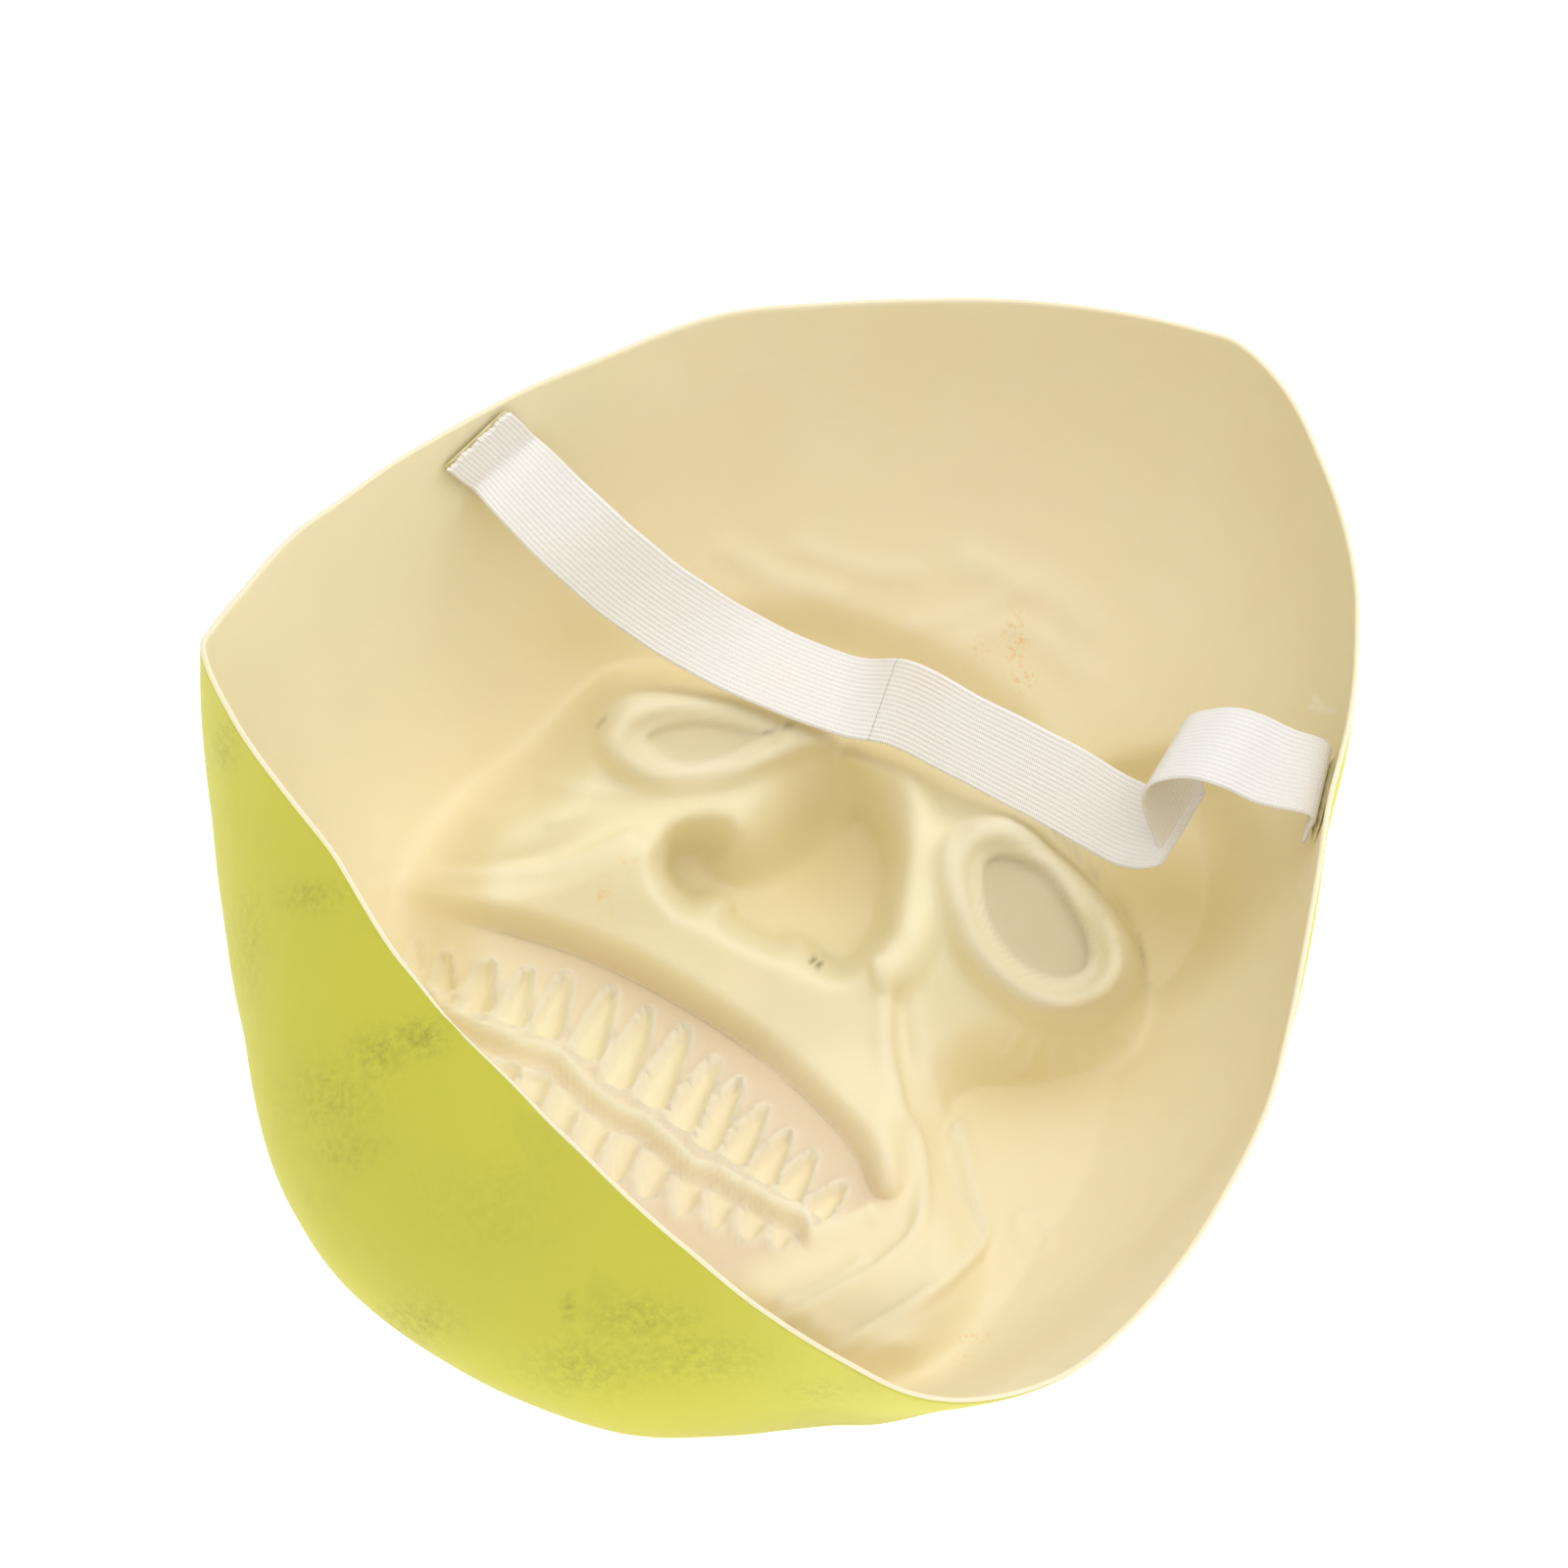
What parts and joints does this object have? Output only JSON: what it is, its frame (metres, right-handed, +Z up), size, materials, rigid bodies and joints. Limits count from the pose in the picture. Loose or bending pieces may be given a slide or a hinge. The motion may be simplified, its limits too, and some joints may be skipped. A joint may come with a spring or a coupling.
{
  "type": "latex halloween mask",
  "caption": "Latex halloween mask lying on its face with the hollow up, its elastic head strap fixed inside the rim at both sides and hanging loose across the hollow.",
  "frame": {"origin": "middle of the footprint's bounding box, on the table plane the face rests on", "axes": "+Z up out of the hollow; the forehead points to +X+Y and the chin to -X-Y"},
  "size_m": [0.2572, 0.287, 0.1181],
  "materials": {
    "latex": "cream latex inside, yellow-green paint outside",
    "elastic": "white ribbed knit",
    "glue": "dried latex cement"
  },
  "bodies": {
    "shell": {"mask_shell": "latex", "strap_end_left": "elastic", "strap_end_right": "elastic", "glue_pad_left": "glue", "glue_pad_right": "glue"},
    "strap": {"strap_web": "elastic"}
  },
  "joints": [
    {"name": "strap_swing", "type": "hinge", "parent": "shell", "child": "strap", "pos_m": [-0.05551, 0.08333, 0.09085], "axis": [0.935, -0.3266, -0.1381], "range_deg": [0, 130]}
  ]
}
